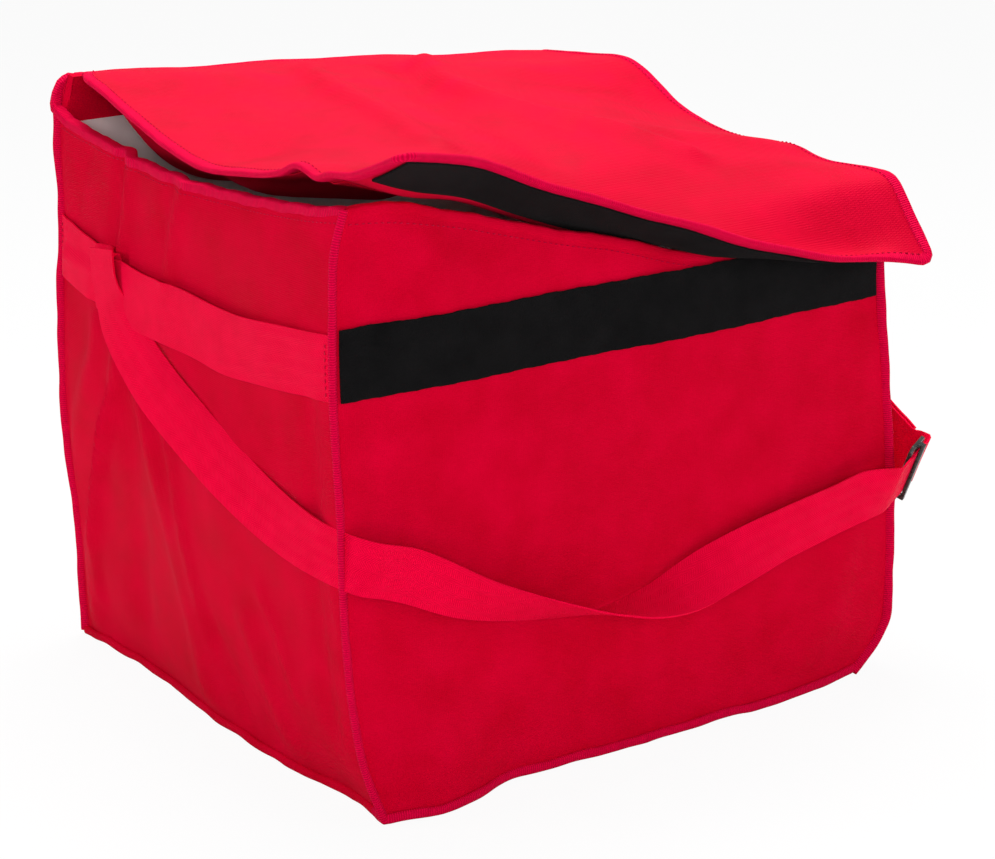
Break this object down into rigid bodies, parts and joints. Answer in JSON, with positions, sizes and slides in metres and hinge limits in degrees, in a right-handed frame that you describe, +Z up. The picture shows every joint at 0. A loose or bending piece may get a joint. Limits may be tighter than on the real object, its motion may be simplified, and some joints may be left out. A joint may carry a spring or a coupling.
{
  "type": "insulated pizza delivery bag",
  "caption": "Tall square insulated food delivery bag in red fabric with a loose lid, a hook-tape front flap, side bands and a sagging shoulder strap with a slider.",
  "frame": {"origin": "centre of the base, on the floor it stands on", "axes": "+Z up, -Y the front with the black tape, +X to the right along the front as seen from the front"},
  "size_m": [0.5708, 0.5345, 0.4892],
  "materials": {
    "red_cover_fabric": "plain woven nylon, satin",
    "red_webbing": "ribbed webbing and binding tape",
    "white_foam": "soft foam sheet",
    "grey_lining": "smooth coated lining",
    "black_tape": "fuzzy hook and loop tape",
    "grey_buckle": "moulded plastic, smooth"
  },
  "bodies": {
    "bag": {"cover_front": "red_cover_fabric", "cover_back": "red_cover_fabric", "cover_left": "red_cover_fabric", "cover_right": "red_cover_fabric", "cover_bottom": "red_cover_fabric", "piping_front_left": "red_webbing", "piping_front_right": "red_webbing", "piping_back_left": "red_webbing", "piping_back_right": "red_webbing", "base_piping_front": "red_webbing", "base_piping_back": "red_webbing", "base_piping_left": "red_webbing", "base_piping_right": "red_webbing", "rim_binding_left": "red_webbing", "rim_binding_front": "red_webbing", "rim_binding_right": "red_webbing", "side_band_left": "red_webbing", "side_band_right": "red_webbing", "strap_loop_left": "red_webbing", "strap_loop_right": "red_webbing", "foam_front": "white_foam", "foam_back": "white_foam", "foam_left": "white_foam", "foam_right": "white_foam", "foam_bottom": "white_foam", "lining_front": "grey_lining", "lining_back": "grey_lining", "lining_left": "grey_lining", "lining_right": "grey_lining", "lining_bottom": "grey_lining", "lid_hinge_piping": "red_webbing", "front_loop_tape": "black_tape"},
    "lid": {"lid_cover": "red_cover_fabric", "lid_foam": "white_foam", "lid_underside": "red_cover_fabric", "lid_binding_left": "red_webbing", "lid_binding_right": "red_webbing", "flap_fold_cord": "red_webbing"},
    "flap": {"flap_cover": "red_cover_fabric", "flap_underside": "red_cover_fabric", "flap_hook_tape": "black_tape", "flap_binding": "red_webbing"},
    "strap": {"shoulder_strap": "red_webbing", "strap_return": "red_webbing"},
    "slider": {"strap_slider": "grey_buckle"}
  },
  "joints": [
    {"name": "lid_hinge", "type": "hinge", "parent": "bag", "child": "lid", "pos_m": [0, 0.22604, 0.45804], "axis": [-0.9975, 0, 0.0707], "range_deg": [0, 225]},
    {"name": "flap_fold", "type": "hinge", "parent": "lid", "child": "flap", "pos_m": [0, -0.23, 0.435], "axis": [-0.9918, 0, 0.1281], "range_deg": [-28, 90]},
    {"name": "strap_lift", "type": "hinge", "parent": "bag", "child": "strap", "pos_m": [0, 0.0255, 0.31], "axis": [-0.9278, 0.373, 0], "range_deg": [0, 14]},
    {"name": "slider_adjust", "type": "slide", "parent": "strap", "child": "slider", "axis": [-0.89, -0.4312, -0.1483], "range_m": [0, 0.01]}
  ]
}
